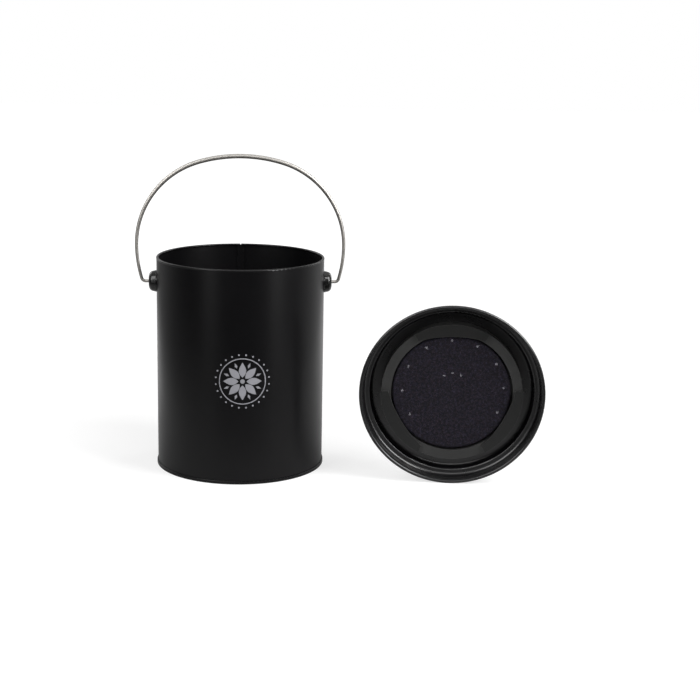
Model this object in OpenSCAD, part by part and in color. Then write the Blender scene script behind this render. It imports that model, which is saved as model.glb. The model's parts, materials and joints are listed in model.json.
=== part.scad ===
// Kitchen compost pail of powder-coated steel, with a swinging wire bail and a lift-off vented lid
// that carries a charcoal filter in a moulded holder. Sizes are millimetres. The pail's axis is Z,
// its base stands on z = 0, its front faces -Y and the bail turns about the X direction.

/* [Pail] */
// Outer diameter of the pail's side wall
body_d = 170; // [150:1:200]
// Height of the pail from the floor to the top of its rolled rim
body_h = 215; // [150:1:280]
// Thickness of the pail's sheet
sheet_t = 0.6; // [0.5:0.1:1.2]
// How far the rolled rim stands proud of the wall
rim_proud = 0.2; // [0:0.1:1]
// Diameter of the rolled rim's tube
rim_bead_d = 2.4; // [2:0.1:4]
// Width of the lapped side seam at the back
seam_w = 6; // [4:0.5:12]
// Thickness of the seam's inner lap
seam_t = 0.5; // [0.4:0.1:1]
// Width of the open notch where the seam meets the rim
seam_notch_w = 1; // [0.6:0.1:2]

/* [Base] */
// Height of the folded seam ring round the base
chime_h = 3.2; // [2.5:0.1:5]
// How far the folded seam ring stands proud of the wall
chime_proud = 1; // [0.7:0.1:2]
// Height of the base panel's underside above the floor
base_lift = 3.4; // [2:0.1:6]
// Clearance between the wall and the folded base
seam_gap = 0.05; // [0.02:0.01:0.1]

/* [Ears] */
// Diameter of an ear where it meets the wall
ear_d = 22; // [18:0.5:30]
// How far an ear stands out from the wall
ear_out = 7.7; // [6.5:0.1:12]
// Radius that rounds an ear's face into its side
ear_round = 5; // [3:0.1:6]
// Thickness of an ear's face round the bail's hole
ear_face_t = 2.2; // [1.5:0.1:3]
// Diameter of the hollow behind an ear's face
ear_hollow_d = 12; // [9:0.5:14]
// Height of the ears' centres below the top of the rim
ear_drop = 26; // [22:0.5:60]
// Clearance between an ear's foot and the wall
ear_gap = 0.05; // [0.02:0.01:0.1]

/* [Bail] */
// How far the bail's legs stand out from the pail's wall
bail_out = 21.4; // [18:0.1:30]
// Height of the crown's middle line above the pins
bail_rise = 127; // [115:1:180]
// Height of the widest place above the pins
bail_waist = 37; // [25:1:60]
// Radius of the crown's arc
crown_r = 148; // [130:1:160]
// Radius of the arc that draws each leg in
leg_r = 125; // [90:1:200]
// Radius of the bend between a leg and its pin
bend_r = 4; // [3.5:0.1:8]
// Wire diameter at the crown
crown_wire_d = 4.6; // [3.6:0.1:6]
// Wire diameter at the pins
pin_d = 3.2; // [2.6:0.1:4]
// Radial running clearance of a pin in its ear
pin_gap = 0.05; // [0.02:0.01:0.1]
// Diameter of the upset head inside each ear
head_d = 6.4; // [5:0.1:8]
// Thickness of the upset head
head_t = 1.6; // [1:0.1:2.4]
// End play between the head and the ear's face
head_play = 0.3; // [0.2:0.1:1]

/* [Lid] */
// Thickness of the lid's sheet
lid_t = 0.7; // [0.5:0.1:1.2]
// Radial clearance between the rim and the lid's skirt
lid_fit = 2.6; // [1:0.1:4]
// Height of the seat above the middle of the curl
seat_h = 12.5; // [8:0.1:13]
// Height of the panel's underside above the seat
panel_step = 8.9; // [6:0.1:12]
// How far the step lies inside the rim
step_inset = 3.9; // [3.4:0.1:8]
// Inner radius of the bend between skirt and seat
skirt_bend_r = 3.6; // [2:0.1:4]
// Inner radius of the bend between step and panel
step_bend_r = 3.8; // [1:0.1:4.2]
// Inner radius of the bend at the step's foot
foot_bend_r = 0.9; // [0.5:0.1:1.8]
// Diameter of the curled edge
curl_d = 3.6; // [3:0.1:7]
// Clearance under the seat when the lid is on
seat_gap = 0.3; // [0.25:0.05:0.5]

/* [Vents] */
// Number of vents in each ring
vent_n = 12; // [6:1:16]
// Distance of the outer ring of vents inside the filter's edge
vent_inset = 8.5; // [4:0.5:14]
// Diameter of an outer vent
vent_outer_d = 3.2; // [2:0.1:5]
// Distance of the inner ring of vents outside the raised boss
vent_boss_gap = 9; // [6.5:0.5:12]
// Diameter of an inner vent
vent_inner_d = 2.6; // [1.6:0.1:3.4]
// Turn of the vents about the lid's axis
vent_turn = -3.2; // [-15:0.1:15]

/* [Knob] */
// Diameter of the knob's head
knob_d = 34; // [28:1:46]
// Height of the knob above its seat
knob_h = 25; // [22:1:32]
// Diameter of the knob's foot
knob_foot_d = 20; // [16:0.5:24]
// Diameter of the knob's waist
knob_waist_d = 15; // [12:0.5:18]
// Thickness of the knob's foot
knob_foot_t = 3; // [2:0.1:5]
// Thickness of the knob's rounded head
knob_head_t = 11; // [8:0.5:14]
// Radius of the raised boss that holds the screw
boss_r = 9; // [7.5:0.1:11]
// Height of the boss above the panel
boss_h = 4; // [3.6:0.1:6]
// Inner bend radius of the boss's edge
boss_bend_r = 1.5; // [0.8:0.1:2]
// Diameter of the screw's shank
screw_d = 4; // [3:0.5:5]
// Length of the screw's shank under its head
screw_l = 12; // [9:0.5:16]
// Diameter of the screw's head
screw_head_d = 8; // [6.5:0.1:9]
// Height of the screw's head
screw_head_h = 2.2; // [1.6:0.1:2.4]
// Clearance round the screw's shank in the lid and washer
screw_gap = 0.3; // [0.1:0.05:0.5]
// Outer diameter of the washer
washer_d = 11; // [9:0.5:14]
// Thickness of the washer
washer_t = 0.8; // [0.5:0.1:1.2]
// Outer diameter of the threaded insert
insert_d = 7; // [6.5:0.1:9]
// Length of the threaded insert
insert_l = 9.5; // [7:0.5:12]
// Clearance between parts that are bonded or screwed together
joint_gap = 0.05; // [0.02:0.01:0.1]

/* [Filter] */
// Gap between the lid's step and the holder's lips
lip_gap = 10.9; // [8:0.1:12]
// How far the raised lips stand out from the holder's ring
lip_proud = 0.7; // [0.4:0.1:1.4]
// Width of the holder's ring from its outside to its bore
ring_w = 9.3; // [7:0.1:12]
// Height of the holder's ring below the panel
ring_h = 11; // [9:0.1:11.4]
// Wall thickness of the moulding
mould_t = 1.6; // [1.2:0.1:2]
// How far the middle of a lip reaches in past the ring's bore
lip_cover = 2.4; // [2:0.1:6]
// Radius of the flatter arc that ends a lip
lip_edge_r = 125; // [80:1:200]
// Height of a lip's face below the panel
lip_h = 13.4; // [13.2:0.1:15]
// Angle that one lip covers
lip_sweep = 63; // [40:1:80]
// Number of lips
lip_n = 3; // [2:1:4]
// Clearance between the charcoal filter and the ring's bore
filter_play = 1.3; // [0.9:0.1:3]
// Thickness of the charcoal filter
filter_t = 10.5; // [5:0.5:11]
// Rounding of the filter's edge
filter_round = 2.6; // [1:0.1:4]
// How far the filter has slipped sideways in its holder
filter_slip = 0.4; // [0:0.1:0.8]
// Clearance between the filter and the lid's panel
filter_gap = 0.3; // [0.2:0.1:0.6]

/* [Lid place] */
// Where the lid is: stood on its edge beside the pail, or seated on the rim
lid_place = "beside"; // [beside, seated]
// Sideways gap between the pail's wall and the standing lid
lid_clear = 31; // [28:0.5:100]
// Distance of the standing lid's middle in front of the pail's axis
lid_front = 89.6; // [0:0.2:140]
// Turn of the standing lid towards the pail
lid_turn = 7; // [0:0.5:20]
// Forward lean that balances the standing lid on its edge
lid_lean = 3.3; // [0:0.1:6]

/* [Hidden] */

$fn = 96;

coat_black = [0.10, 0.10, 0.11];
gloss_black = [0.05, 0.05, 0.05];
nickel = [0.66, 0.65, 0.62];
moulded_grey = [0.24, 0.24, 0.23];
foam_black = [0.12, 0.11, 0.13];
brass = [0.78, 0.62, 0.30];
zinc = [0.72, 0.73, 0.75];

// Small overlap that lets two shapes of one piece fuse
fuse = 0.5;
// Extra length that lets a cut run past a face
past = 2;

body_r = body_d / 2;
rim_r = body_r + rim_proud;
bead_r = rim_bead_d / 2;
pail_inner_r = body_r - sheet_t;

// Base: the channel's outer leg wraps the wall's foot, and its inner leg carries the panel.
chime_r = body_r + chime_proud;
fold_t = chime_proud - seam_gap;
chuck_r = pail_inner_r - seam_gap;
wall_foot_z = fold_t + seam_gap;

// Bail: pins in the ears' faces, and the arcs between them.
pin_z = body_h - ear_drop;
pin_r = pin_d / 2;
ear_face_x = body_r + ear_out;
ear_inner_x = ear_face_x - ear_face_t;
// The bent wire's ends lie just inside the round pins that they run into.
wire_end_r = pin_r - 0.06;
waist_x = body_r + bail_out - wire_r(bail_waist);
crown_centre = bail_rise - crown_r;
shoulder_drop = bail_waist - crown_centre;
shoulder_r = (crown_r * crown_r - waist_x * waist_x - shoulder_drop * shoulder_drop)
    / (2 * (crown_r - waist_x));
shoulder_x = waist_x - shoulder_r;
shoulder_angle = atan2(shoulder_drop, shoulder_x);
leg_angle = asin((bail_waist - bend_r) / (leg_r - bend_r));
bend_x = waist_x - leg_r + (leg_r - bend_r) * cos(leg_angle);
wire_sides = 16;
// Steps in which the bend, leg, shoulder and half crown are drawn
bend_steps = 8;
leg_steps = 6;
shoulder_steps = 14;
crown_steps = 8;

// Lid, in its own frame: z = 0 is the middle of the curl and +Z is the knob's side.
skirt_r = rim_r + lid_fit;
step_r = rim_r - step_inset;
panel_h = seat_h + panel_step;
panel_top = panel_h + lid_t;
boss_top = panel_top + boss_h;
curl_r = curl_d / 2;
curl_centre_r = skirt_r + lid_t / 2 + curl_r;
lid_outer_r = curl_centre_r + curl_r;
knob_z = boss_top + joint_gap;
screw_r = screw_d / 2;
washer_z = panel_h + boss_h - joint_gap - washer_t;
screw_head_z = washer_z - joint_gap - screw_head_h;
insert_hole_r = screw_r + joint_gap;
insert_r = insert_d / 2;

// Filter holder, hung under the panel.
lip_r = step_r - lip_gap;
ring_r = lip_r - lip_proud;
ring_bore_r = ring_r - ring_w;
lip_reach = ring_bore_r - lip_cover;
holder_top = panel_h - joint_gap;
ring_face = panel_h - ring_h;
first_lip_angle = 28.5;
cheek_angle = mould_t / ring_r * 180 / PI;
lip_face = panel_h - lip_h;
filter_top = panel_h - filter_gap;
filter_r = ring_bore_r - filter_play;
vent_outer_r = filter_r - vent_inset;
vent_inner_r = boss_r + vent_boss_gap;

// Where the lid stands: its curl's lowest point touches z = 0.
lid_x = body_r + lid_clear + lid_outer_r;
lid_stand_z = curl_centre_r * cos(lid_lean) + curl_r;

// Ring of a given section height and width, about Z.
module band(r_in, r_out, z_low, z_high) {
    rotate_extrude()
        translate([r_in, z_low])
            square([r_out - r_in, z_high - z_low]);
}

// Sector of a tall disc, centred on an angle.
module sector(angle, sweep, r, z_low, z_high) {
    far = r / cos(sweep / 2);
    translate([0, 0, z_low])
        linear_extrude(z_high - z_low)
            polygon([
                [0, 0],
                far * [cos(angle - sweep / 2), sin(angle - sweep / 2)],
                far * [cos(angle), sin(angle)],
                far * [cos(angle + sweep / 2), sin(angle + sweep / 2)]
            ]);
}

// ---- Pail ----

module wall_section() {
    difference() {
        union() {
            translate([pail_inner_r, wall_foot_z])
                square([sheet_t, body_h - bead_r - wall_foot_z]);
            translate([rim_r - bead_r, body_h - bead_r])
                circle(bead_r, $fn = 48);
        }
        translate([rim_r - bead_r, body_h - bead_r])
            circle(bead_r - sheet_t, $fn = 48);
    }
}

module seam_lap() {
    // gap that the lap leaves above the base panel
    foot_gap = 1;
    intersection() {
        band(pail_inner_r - seam_t, pail_inner_r + sheet_t / 2,
            base_lift + sheet_t + foot_gap, body_h - rim_bead_d);
        translate([-seam_w / 2, 0, 0])
            cube([seam_w, body_d, body_h]);
    }
}

module pail_wall() {
    color(coat_black)
        difference() {
            union() {
                rotate_extrude($fn = 180)
                    wall_section();
                seam_lap();
            }
            translate([-seam_notch_w / 2, rim_r - rim_bead_d - past, body_h - bead_r])
                cube([seam_notch_w, rim_bead_d + 2 * past, rim_bead_d]);
        }
}

module base_section() {
    panel_top_z = base_lift + sheet_t;
    square_r = chuck_r - sheet_t;
    // outer leg, with its upper edge rounded over
    translate([body_r + seam_gap, 0])
        square([fold_t, chime_h - fold_t / 2]);
    translate([body_r + seam_gap + fold_t / 2, chime_h - fold_t / 2])
        circle(fold_t / 2, $fn = 32);
    // foot of the channel
    translate([square_r, 0])
        square([chime_r - square_r, fold_t]);
    // inner leg and panel
    translate([square_r, 0])
        square([sheet_t, panel_top_z]);
    translate([0, base_lift])
        square([square_r + sheet_t / 2, sheet_t]);
}

module pail_base() {
    color(coat_black)
        rotate_extrude($fn = 180)
            base_section();
}

// ---- Ears ----

// Half outline of an ear along its own axis, from the pail's axis side to its face.
module ear_outline() {
    foot_r = ear_d / 2;
    foot_h = 0.6;
    face_r = foot_r - ear_round - foot_h;
    // domed body: a straight foot, then a round shoulder into the flat face
    hull() {
        square([foot_r, foot_h]);
        translate([face_r, ear_out - ear_round])
            intersection() {
                circle(ear_round, $fn = 64);
                square(ear_round);
            }
        translate([0, ear_out - ear_face_t])
            square([face_r, ear_face_t]);
    }
}

module ear(side) {
    // how far the uncut blank reaches in behind the wall's widest point
    depth = ear_out;
    color(gloss_black)
        difference() {
            translate([side * body_r, 0, pin_z])
                rotate([0, side * 90, 0])
                    union() {
                        rotate_extrude($fn = 72)
                            ear_outline();
                        translate([0, 0, -depth])
                            cylinder(h = depth, d = ear_d, $fn = 72);
                    }
            // the wall's curve
            cylinder(h = body_h, r = body_r + ear_gap, $fn = 180);
            // hollow for the bail's head
            translate([side * (body_r - past), 0, pin_z])
                rotate([0, side * 90, 0])
                    cylinder(h = ear_inner_x - body_r + past, d = ear_hollow_d, $fn = 64);
            // running hole for the bail's pin
            translate([side * body_r, 0, pin_z])
                rotate([0, side * 90, 0])
                    cylinder(h = ear_out + past, r = pin_r + pin_gap, $fn = 48);
        }
}

module ear_left() {
    ear(-1);
}

module ear_right() {
    ear(1);
}

// ---- Bail ----

// Points of the right half of the wire's middle line as [x, z, heading of the outer normal].
function arc_points(cx, cz, r, from, to, n, skip_first) = [
    for (i = [skip_first ? 1 : 0 : n])
        let (a = from + (to - from) * i / n)
        [cx + r * cos(a), cz + r * sin(a), a]
];

half_line = concat(
    arc_points(bend_x, bend_r, bend_r, -90, -leg_angle, bend_steps, false),
    arc_points(waist_x - leg_r, bail_waist, leg_r, -leg_angle, 0, leg_steps, true),
    arc_points(shoulder_x, bail_waist, shoulder_r, 0, shoulder_angle, shoulder_steps, true),
    arc_points(0, crown_centre, crown_r, shoulder_angle, 90, crown_steps, true)
);
half_n = len(half_line);

// The whole line from the right pin over the crown to the left pin.
wire_line = [
    for (i = [0 : 2 * half_n - 2])
        i < half_n
            ? half_line[i]
            : let (p = half_line[2 * half_n - 2 - i]) [-p[0], p[1], 180 - p[2]]
];

// The wire's radius at a height above the pins: thin at the pins, thick at the crown.
function wire_r(height) =
    wire_end_r + (crown_wire_d / 2 - wire_end_r) * (1 - cos(180 * height / bail_rise)) / 2;

wire_points = [
    for (i = [0 : len(wire_line) - 1], k = [0 : wire_sides - 1])
        let (p = wire_line[i], r = wire_r(p[1]), a = 360 * k / wire_sides)
        [p[0] + r * cos(a) * cos(p[2]), r * sin(a), p[1] + r * cos(a) * sin(p[2])]
];

wire_faces = concat(
    [[for (k = [0 : wire_sides - 1]) k]],
    [[for (k = [wire_sides - 1 : -1 : 0]) (len(wire_line) - 1) * wire_sides + k]],
    [
        for (i = [0 : len(wire_line) - 2], k = [0 : wire_sides - 1])
            let (a = i * wire_sides, b = a + wire_sides, m = (k + 1) % wire_sides)
            [a + m, a + k, b + k, b + m]
    ]
);

module bail_pin(side) {
    head_x = ear_inner_x - head_play;
    translate([side * (head_x - head_t), 0, 0])
        rotate([0, side * 90, 0]) {
            cylinder(h = bend_x + fuse - head_x + head_t, r = pin_r, $fn = 48);
            cylinder(h = head_t, d = head_d, $fn = 48);
        }
}

module bail() {
    color(nickel)
        translate([0, 0, pin_z])
            union() {
                polyhedron(wire_points, wire_faces, convexity = 6);
                bail_pin(-1);
                bail_pin(1);
            }
}

// ---- Lid ----

// Puts a piece of the lid, drawn in the lid's own frame, where the lid is.
module place_lid() {
    if (lid_place == "seated")
        translate([0, 0, body_h + seat_gap - seat_h])
            children();
    else
        translate([lid_x, -lid_front, lid_stand_z])
            rotate([0, 0, -lid_turn])
                rotate([lid_lean - 90, 0, 0])
                    children();
}

// Rectangle from the axis out to r and up to h, with its far corner rounded.
module block(r, h, corner) {
    square([r - corner, h]);
    square([r, h - corner]);
    translate([r - corner, h - corner])
        circle(corner, $fn = 64);
}

// Fillet that fills a corner open towards +X and +Y.
module fillet(r) {
    difference() {
        square(r);
        translate([r, r])
            circle(r, $fn = 64);
    }
}

// Space under a skin that lies grow outside the lid's inner face.
module under_skin(grow) {
    bend = lid_t - grow;
    block(skirt_r + grow, seat_h + grow, skirt_bend_r + grow);
    block(step_r + grow, panel_h + grow, step_bend_r + grow);
    block(boss_r + grow, panel_h + boss_h + grow, boss_bend_r + grow);
    translate([step_r + grow, seat_h + grow])
        fillet(foot_bend_r + bend);
    translate([boss_r + grow, panel_h + grow])
        fillet(foot_bend_r + bend);
}

module lid_section() {
    difference() {
        under_skin(lid_t);
        under_skin(0);
        translate([0, -past])
            square([skirt_r, past + fuse]);
    }
    difference() {
        translate([curl_centre_r, 0])
            circle(curl_r, $fn = 64);
        translate([curl_centre_r, 0])
            circle(curl_r - lid_t, $fn = 64);
    }
}

module vents(ring_radius, d) {
    for (i = [0 : vent_n - 1])
        rotate([0, 0, vent_turn + 360 * i / vent_n])
            translate([ring_radius, 0, panel_h - past])
                cylinder(h = lid_t + 2 * past, d = d, $fn = 24);
}

module lid_shell() {
    color(coat_black)
        place_lid()
            difference() {
                rotate_extrude($fn = 180)
                    lid_section();
                vents(vent_outer_r, vent_outer_d);
                vents(vent_inner_r, vent_inner_d);
                translate([0, 0, panel_h])
                    cylinder(h = boss_top, r = screw_r + screw_gap, $fn = 32);
            }
}

// ---- Knob and its fastening ----

module knob_outline() {
    foot_r = knob_foot_d / 2;
    waist_r = knob_waist_d / 2;
    head_r = knob_d / 2;
    head_mid = knob_h - knob_head_t / 2;
    cove_h = head_mid - knob_foot_t;
    edge = 0.8;
    difference() {
        union() {
            // foot with an eased edge
            square([foot_r - edge, knob_foot_t]);
            square([foot_r, knob_foot_t - edge]);
            translate([foot_r - edge, knob_foot_t - edge])
                circle(edge, $fn = 32);
            // waist
            square([waist_r, head_mid]);
            // rounded head
            translate([head_r - knob_head_t / 2, head_mid])
                circle(knob_head_t / 2, $fn = 64);
            translate([0, head_mid - knob_head_t / 2])
                square([head_r - knob_head_t / 2, knob_head_t]);
        }
        translate([-knob_d, 0])
            square([knob_d, cove_h + knob_h]);
    }
}

module knob() {
    color(gloss_black)
        place_lid()
            translate([0, 0, knob_z])
                difference() {
                    rotate_extrude($fn = 120)
                        knob_outline();
                    translate([0, 0, -past])
                        cylinder(h = insert_l + joint_gap + past, r = insert_r + joint_gap, $fn = 48);
                    translate([0, 0, -past])
                        cylinder(h = screw_l + past, r = screw_r + screw_gap, $fn = 48);
                }
}

module knob_insert() {
    groove = 0.5;
    color(brass)
        place_lid()
            translate([0, 0, knob_z])
                difference() {
                    cylinder(h = insert_l, r = insert_r, $fn = 48);
                    translate([0, 0, -past])
                        cylinder(h = insert_l + 2 * past, r = insert_hole_r, $fn = 48);
                    translate([0, 0, insert_l / 2])
                        rotate_extrude($fn = 48)
                            translate([insert_r, 0])
                                circle(groove, $fn = 24);
                }
}

module knob_washer() {
    color(zinc)
        place_lid()
            translate([0, 0, washer_z])
                difference() {
                    cylinder(h = washer_t, d = washer_d, $fn = 48);
                    translate([0, 0, -past])
                        cylinder(h = washer_t + 2 * past, r = screw_r + screw_gap, $fn = 48);
                }
}

module knob_screw() {
    slot_w = screw_d / 4;
    slot_l = screw_head_d * 0.6;
    slot_deep = screw_head_h / 2;
    dome = screw_head_h * 0.5;
    color(zinc)
        place_lid()
            translate([0, 0, screw_head_z])
                difference() {
                    union() {
                        rotate_extrude($fn = 48)
                            intersection() {
                                translate([screw_head_d / 2 - dome, dome])
                                    union() {
                                        circle(dome, $fn = 32);
                                        translate([dome - screw_head_d / 2, -dome])
                                            square([screw_head_d / 2 - dome, screw_head_h]);
                                        translate([dome - screw_head_d / 2, 0])
                                            square([screw_head_d / 2, screw_head_h - dome]);
                                    }
                                square([screw_head_d, screw_head_h]);
                            }
                        cylinder(h = screw_head_h + screw_l, r = screw_r, $fn = 48);
                    }
                    for (turn = [0, 90])
                        rotate([0, 0, turn])
                            translate([-slot_l / 2, -slot_w / 2, -past])
                                cube([slot_l, slot_w, slot_deep + past]);
                }
}

// ---- Filter and its holder ----

// One raised lip: a wall outside the ring, a shelf that reaches in over the filter, and a cheek
// at each end that ties both to the ring.
module holder_lip(angle) {
    difference() {
        intersection() {
            sector(angle, lip_sweep, lip_r + past, lip_face, holder_top);
            cylinder(h = holder_top, r = lip_r, $fn = 180);
        }
        // room behind the shelf, between the cheeks
        intersection() {
            sector(angle, lip_sweep - 2 * cheek_angle, lip_r + past,
                lip_face + mould_t, holder_top + past);
            cylinder(h = holder_top + past, r = lip_r - mould_t, $fn = 180);
        }
        // room for the filter
        translate([0, 0, lip_face + mould_t])
            cylinder(h = lip_h + past, r = ring_bore_r + mould_t / 2, $fn = 180);
        // flatter inner edge of the shelf
        rotate([0, 0, angle])
            translate([lip_reach - lip_edge_r, 0, -past])
                cylinder(h = panel_h, r = lip_edge_r, $fn = 180);
    }
}

module filter_holder() {
    color(moulded_grey)
        place_lid()
            union() {
                // ring, moulded as a channel that is open towards the panel
                difference() {
                    band(ring_bore_r, ring_r, ring_face, holder_top);
                    band(ring_bore_r + mould_t, ring_r - mould_t, ring_face + mould_t, panel_h + past);
                }
                for (i = [0 : lip_n - 1])
                    holder_lip(first_lip_angle + 360 * i / lip_n);
            }
}

module filter_section() {
    difference() {
        translate([0, -filter_t])
            union() {
                translate([0, filter_round])
                    square([filter_r, filter_t - 2 * filter_round]);
                square([filter_r - filter_round, filter_t]);
                for (h = [filter_round, filter_t - filter_round])
                    translate([filter_r - filter_round, h])
                        circle(filter_round, $fn = 48);
            }
        translate([-filter_r, -filter_r])
            square([filter_r, 2 * filter_r]);
    }
}

module charcoal_filter() {
    color(foam_black)
        place_lid()
            translate([-filter_slip, 0, filter_top])
                rotate_extrude($fn = 120)
                    filter_section();
}

pail_wall();
pail_base();
ear_left();
ear_right();
bail();
lid_shell();
knob();
knob_insert();
knob_washer();
knob_screw();
filter_holder();
charcoal_filter();
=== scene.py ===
"""Finishes, printed mark, wire bail, foam filter and studio for a powder-coated compost pail.

Every length is in metres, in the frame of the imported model: +Z is up, the printed front faces -Y,
and the lid stands on its edge to the right of the pail, with its underside to the front.
"""

import json
import math

import bmesh
import bpy
from bpy.props import FloatProperty, FloatVectorProperty, IntProperty, PointerProperty
from mathutils import Matrix, Vector, noise


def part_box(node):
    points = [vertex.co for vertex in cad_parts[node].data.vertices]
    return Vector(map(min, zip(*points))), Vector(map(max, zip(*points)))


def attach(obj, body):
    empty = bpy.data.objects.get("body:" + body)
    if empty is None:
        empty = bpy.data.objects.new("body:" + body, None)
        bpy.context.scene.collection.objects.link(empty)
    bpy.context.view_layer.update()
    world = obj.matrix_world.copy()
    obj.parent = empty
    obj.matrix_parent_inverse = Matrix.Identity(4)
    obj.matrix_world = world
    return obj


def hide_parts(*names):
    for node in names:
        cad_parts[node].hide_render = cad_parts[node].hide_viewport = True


bl_info = {
    "name": "Compost Pail with Lift-off Lid",
    "version": (1, 0, 0),
    "blender": (4, 5, 0),
    "location": "View3D > Sidebar > Compost Pail",
    "description": "Dresses the pieces of a compost pail and sets up its studio",
    "category": "Object",
}

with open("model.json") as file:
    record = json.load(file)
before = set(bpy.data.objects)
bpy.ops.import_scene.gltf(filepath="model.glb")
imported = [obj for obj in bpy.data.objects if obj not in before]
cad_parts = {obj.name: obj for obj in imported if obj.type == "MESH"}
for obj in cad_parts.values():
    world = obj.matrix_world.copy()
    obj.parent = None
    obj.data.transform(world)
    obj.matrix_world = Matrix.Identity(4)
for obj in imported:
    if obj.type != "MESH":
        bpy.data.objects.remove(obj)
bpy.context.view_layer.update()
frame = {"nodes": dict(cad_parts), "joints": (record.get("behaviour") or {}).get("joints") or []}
NODES = frame["nodes"]
PIN_HEIGHT = next(j for j in frame["joints"] if j["name"] == "bail_swing")["pos_m"][2]


SEAM_RING_PROUD = 0.001
WALL_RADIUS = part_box("pail_base")[1].y - SEAM_RING_PROUD
EAR_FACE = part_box("ear_right")[1].x
BAIL_HALF_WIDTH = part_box("bail")[1].x
BAIL_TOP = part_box("bail")[1].z


# ---- Properties ----


def length_prop(name, description, default, **limits):
    """Property for a length in metres."""
    return FloatProperty(
        name=name,
        description=description,
        subtype="DISTANCE",
        unit="LENGTH",
        default=default,
        **limits,
    )


def angle_prop(name, description, degrees):
    """Property for an angle, shown in degrees."""
    return FloatProperty(
        name=name,
        description=description,
        subtype="ANGLE",
        unit="ROTATION",
        default=math.radians(degrees),
    )


def factor_prop(name, description, default):
    """Property for a share from 0 to 1."""
    return FloatProperty(
        name=name, description=description, subtype="FACTOR", min=0, max=1, default=default
    )


def colour_prop(name, description, default):
    """Property for a linear colour."""
    return FloatVectorProperty(
        name=name, description=description, subtype="COLOR", size=3, min=0, max=1, default=default
    )


def place_prop(name, description, default):
    """Property for a place or a shift in metres."""
    return FloatVectorProperty(
        name=name,
        description=description,
        subtype="TRANSLATION",
        unit="LENGTH",
        size=3,
        default=default,
    )


def count_prop(name, description, low, high, default):
    """Property for a number of things."""
    return IntProperty(name=name, description=description, min=low, max=high, default=default)


def power_prop(name, description, default):
    """Property for a lamp's power in watts."""
    return FloatProperty(name=name, description=description, unit="POWER", default=default)


class CoatSettings(bpy.types.PropertyGroup):
    """Satin powder coat of the pail and lid."""

    colour: colour_prop("Coat Colour", "Colour of the cured powder coat", (0.0028, 0.0026, 0.0031))
    pail_roughness: factor_prop("Pail Roughness", "Roughness of the coat on the pail", 0.33)
    lid_roughness: factor_prop("Lid Roughness", "Roughness of the smoother coat on the lid", 0.28)
    peel_size: length_prop(
        "Peel Size", "Width of one dimple of the coat's orange peel", 0.0016, min=0.0002, max=0.01
    )
    peel_depth: length_prop(
        "Peel Depth", "Depth of the coat's orange peel", 0.000012, min=0, max=0.0005
    )


class PrintSettings(bpy.types.PropertyGroup):
    """Round mark that is screen-printed on the front of the wall."""

    ink: colour_prop("Ink Colour", "Colour of the printed ink", (0.28, 0.28, 0.305))
    centre_x: length_prop("Centre X", "Sideways place of the mark's centre along the wall", 0.002)
    centre_z: length_prop("Centre Height", "Height of the mark's centre above the floor", 0.105)
    outer_radius: length_prop(
        "Outer Radius", "Radius of the circle on which the outer dots lie", 0.0266
    )
    dots: count_prop("Dots", "Number of dots round the mark", 6, 60, 24)
    petals: count_prop("Petals", "Number of petals of the rosette", 4, 16, 8)


class BailSettings(bpy.types.PropertyGroup):
    """Bent wire that the pail is carried by."""

    waist_height: length_prop("Waist Height", "Height of the widest place above the pins", 0.037)
    crown_radius: length_prop("Crown Radius", "Radius of the crown's arc", 0.148)
    leg_radius: length_prop("Leg Radius", "Radius of the arc that draws each leg in", 0.125)
    bend_radius: length_prop("Bend Radius", "Radius of the bend between a leg and its pin", 0.004)
    crown_wire: length_prop("Crown Wire", "Diameter of the wire at the crown", 0.0046)
    pin_wire: length_prop("Pin Wire", "Diameter of the wire at the pins", 0.0032)
    head: length_prop("Head", "Diameter of the upset head inside each ear", 0.0064)
    plating: colour_prop("Plating Colour", "Colour of the nickel plating", (0.52, 0.50, 0.47))


class LidSettings(bpy.types.PropertyGroup):
    """How the lid stands, and the filter that it holds."""

    turn: angle_prop("Turn", "Turn of the standing lid towards the pail", 7)
    lean: angle_prop("Lean", "Forward lean of the standing lid, as fitted to the photo", 3.3)
    foam: colour_prop(
        "Foam Colour", "Colour of the charcoal foam between its pores", (0.0178, 0.0146, 0.0235)
    )
    pore_size: length_prop("Pore Size", "Width of one open cell of the foam", 0.0010)
    edge_round: length_prop("Edge Round", "Radius of the foam's soft edge", 0.0026)
    moulding: colour_prop(
        "Moulding Colour", "Colour of the moulded filter holder", (0.0062, 0.0062, 0.0061)
    )
    ring_face: colour_prop(
        "Ring Face Colour", "Colour of the holder's ring between its lips", (0.026, 0.026, 0.0255)
    )
    # The vent settings place the painted specks of vent light on the foam's front.
    vents: count_prop("Vents", "Number of vents in each ring behind the foam", 6, 16, 12)
    outer_vents: length_prop("Outer Vent Ring", "Radius of the outer ring of vents", 0.050)
    inner_vents: length_prop("Inner Vent Ring", "Radius of the inner ring of vents", 0.0165)
    vent_turn: angle_prop("Vent Turn", "Turn of the rings of vents about the lid's axis", -3.2)
    vent_shift: place_prop(
        "Vent Shift",
        "Where the light of the vents comes through the foam, off the lid's axis",
        (0.0010, -0.0034, 0.0),
    )


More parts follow.
